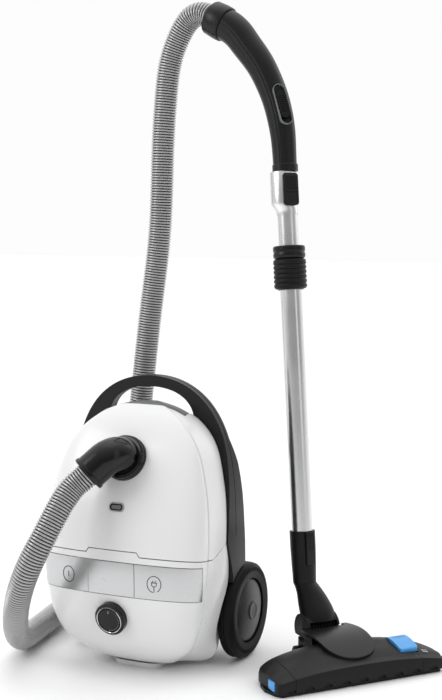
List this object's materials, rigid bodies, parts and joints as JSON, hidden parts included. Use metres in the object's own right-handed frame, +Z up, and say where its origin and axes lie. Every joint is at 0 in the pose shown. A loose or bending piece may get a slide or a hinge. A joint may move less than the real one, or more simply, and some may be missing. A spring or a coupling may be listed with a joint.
{
  "type": "canister vacuum cleaner",
  "caption": "Upright-parked canister vacuum cleaner with a swivelling hose elbow, telescopic wand, curved handle and tilting floor head.",
  "frame": {"origin": "centre line of the canister at the flat underside of its parking foot, on the floor", "axes": "+Z up; the canister's face and control panel look towards -Y; +X is to the right when facing the panel, where the floor head and wand stand"},
  "size_m": [0.6361, 0.4123, 0.9761],
  "materials": {
    "white_casing": "satin gloss",
    "charcoal": "fine texture",
    "black_gloss": "gloss",
    "rubber": "matt",
    "tyre": "matt",
    "silver_panel": "silver paint",
    "chrome": "polished",
    "aluminium": "satin",
    "grey": "satin",
    "blue": "satin gloss",
    "hose": "corrugated",
    "fleece": "fleece",
    "motor_metal": "plain",
    "board": "plain"
  },
  "bodies": {
    "base": {"body_front": "white_casing", "base_pan": "charcoal", "bumper_frame": "charcoal", "parking_foot": "grey", "panel_plate": "silver_panel", "dial_ring": "chrome", "exhaust_grille": "grey", "exhaust_filter": "fleece", "bulkhead": "charcoal", "motor_filter": "fleece", "motor": "motor_metal", "circuit_board": "board", "bag_holder": "grey", "dust_bag": "fleece", "cord_outlet": "grey", "head_body": "charcoal", "sole_plate": "grey", "bridge_cover": "charcoal", "head_carriage": "charcoal", "pivot_bellows": "rubber", "side_insert_left": "blue", "side_insert_right": "blue"},
    "lid": {"lid": "white_casing", "bag_indicator": "black_gloss", "inlet_ring": "grey", "hose_b": "hose"},
    "latch": {"lid_latch": "grey"},
    "elbow": {"hose_elbow": "black_gloss", "hose_a": "hose"},
    "catch": {"elbow_catch": "grey"},
    "power": {"power_button": "silver_panel"},
    "rewind": {"rewind_button": "silver_panel"},
    "dial": {"dial_knob": "black_gloss"},
    "wheel_l": {"tyre_left": "tyre", "wheel_hub_left": "charcoal"},
    "wheel_r": {"tyre_right": "tyre", "wheel_hub_right": "charcoal"},
    "caster": {"caster_fork": "grey"},
    "caster_wheel": {"caster_roller": "rubber"},
    "impeller": {"fan": "grey"},
    "reel": {"cord_reel": "grey"},
    "neck": {"neck_knee": "charcoal", "hose_c": "hose"},
    "lower_wand": {"neck_socket": "charcoal", "outer_tube": "aluminium", "collar_core": "rubber", "hose_d": "hose"},
    "upper_wand": {"inner_tube": "aluminium", "tube_sleeve": "aluminium", "handle": "charcoal", "hose_e": "hose"},
    "collar": {"collar_sleeve": "rubber"},
    "wand_clip": {"tube_clip": "charcoal"},
    "socket_clip": {"neck_clip": "charcoal"},
    "slider": {"suction_slider": "rubber"},
    "cuff": {"hose_cuff": "charcoal"},
    "pedal": {"head_pedal": "blue"},
    "brush": {"brush_strip": "rubber"},
    "roller": {"head_roller": "rubber"}
  },
  "joints": [
    {"name": "lid_hinge", "type": "hinge", "parent": "base", "child": "lid", "pos_m": [0, -0.0935, 0.1804], "axis": [1, 0, 0], "range_deg": [0, 75], "deforming": ["hose_b"]},
    {"name": "lid_latch_press", "type": "hinge", "parent": "lid", "child": "latch", "pos_m": [0, 0.008, 0.366], "axis": [-1, 0, 0], "range_deg": [0, 4], "stiffness_Nm_per_rad": 0.4},
    {"name": "elbow_swivel", "type": "hinge", "parent": "lid", "child": "elbow", "pos_m": [0, -0.0482, 0.31], "axis": [0, -0.8946, 0.4469], "range_deg": [-35, 35], "deforming": ["hose_a"]},
    {"name": "elbow_catch_press", "type": "slide", "parent": "elbow", "child": "catch", "axis": [-1, 0, 0], "range_m": [0, 0.0014], "stiffness_N_per_m": 400},
    {"name": "power_press", "type": "slide", "parent": "base", "child": "power", "axis": [0.5821, 0.8131, 0], "range_m": [0, 0.003], "stiffness_N_per_m": 600},
    {"name": "rewind_press", "type": "slide", "parent": "base", "child": "rewind", "axis": [-0.5821, 0.8131, 0], "range_m": [0, 0.003], "stiffness_N_per_m": 600},
    {"name": "suction_dial", "type": "hinge", "parent": "base", "child": "dial", "pos_m": [0, -0.0889, 0.0905], "axis": [0, -0.9823, -0.1875], "range_deg": [-135, 135]},
    {"name": "wheel_left_spin", "type": "hinge", "parent": "base", "child": "wheel_l", "pos_m": [-0.112, 0.082, 0.0715], "axis": [1, 0, 0], "continuous": true},
    {"name": "wheel_right_spin", "type": "hinge", "parent": "base", "child": "wheel_r", "pos_m": [0.112, 0.082, 0.0715], "axis": [1, 0, 0], "continuous": true},
    {"name": "caster_swivel", "type": "hinge", "parent": "base", "child": "caster", "pos_m": [0, 0.1238, 0.285], "axis": [0, 1, 0], "continuous": true},
    {"name": "caster_roll", "type": "hinge", "parent": "caster", "child": "caster_wheel", "pos_m": [0, 0.142, 0.279], "axis": [1, 0, 0], "continuous": true},
    {"name": "fan_spin", "type": "hinge", "parent": "base", "child": "impeller", "pos_m": [-0.035, 0.035, 0.1625], "axis": [0, 0, 1], "continuous": true},
    {"name": "reel_spin", "type": "hinge", "parent": "base", "child": "reel", "pos_m": [0.056, 0.035, 0.095], "axis": [1, 0, 0], "continuous": true},
    {"name": "neck_tilt", "type": "hinge", "parent": "base", "child": "neck", "pos_m": [0.2246, 0.1276, 0.045], "axis": [-0.6428, -0.766, 0], "range_deg": [0, 60], "deforming": ["hose_c"]},
    {"name": "wand_swivel", "type": "hinge", "parent": "neck", "child": "lower_wand", "pos_m": [0.2018, 0.1338, 0.1088], "axis": [-0.0889, 0.0801, 0.9928], "range_deg": [-60, 60], "deforming": ["hose_d"]},
    {"name": "telescope", "type": "slide", "parent": "lower_wand", "child": "upper_wand", "axis": [-0.0889, 0.0801, 0.9928], "range_m": [0, 0.3], "deforming": ["hose_e"]},
    {"name": "collar_release", "type": "slide", "parent": "lower_wand", "child": "collar", "axis": [0.0889, -0.0801, -0.9928], "range_m": [0, 0.008], "stiffness_N_per_m": 500, "springref_m": -0.001},
    {"name": "wand_clip_press", "type": "slide", "parent": "upper_wand", "child": "wand_clip", "axis": [-0.6636, 0.7385, -0.119], "range_m": [0, 0.0012], "stiffness_N_per_m": 600},
    {"name": "socket_clip_press", "type": "slide", "parent": "lower_wand", "child": "socket_clip", "axis": [-0.8333, 0.5401, -0.1182], "range_m": [0, 0.0008], "stiffness_N_per_m": 600},
    {"name": "suction_slide", "type": "slide", "parent": "upper_wand", "child": "slider", "axis": [-0.3107, 0.0804, 0.9471], "range_m": [-0.0075, 0.0075]},
    {"name": "cuff_swivel", "type": "hinge", "parent": "upper_wand", "child": "cuff", "pos_m": [0.0415, 0.2023, 0.9387], "axis": [-0.8838, 0.0524, 0.465], "continuous": true},
    {"name": "pedal_rock", "type": "hinge", "parent": "base", "child": "pedal", "pos_m": [0.3541, 0.1311, 0.038], "axis": [0.6428, 0.766, 0], "range_deg": [0, 4]},
    {"name": "brush_drop", "type": "slide", "parent": "base", "child": "brush", "axis": [0, 0, -1], "range_m": [0, 0.0055]},
    {"name": "head_roller_spin", "type": "hinge", "parent": "base", "child": "roller", "pos_m": [0.2161, 0.1346, 0.0087], "axis": [0.6428, 0.766, 0], "continuous": true}
  ],
  "couplings": [
    {"joint": "brush_drop", "follows": "pedal_rock", "m_per_rad": 0.0787}
  ]
}
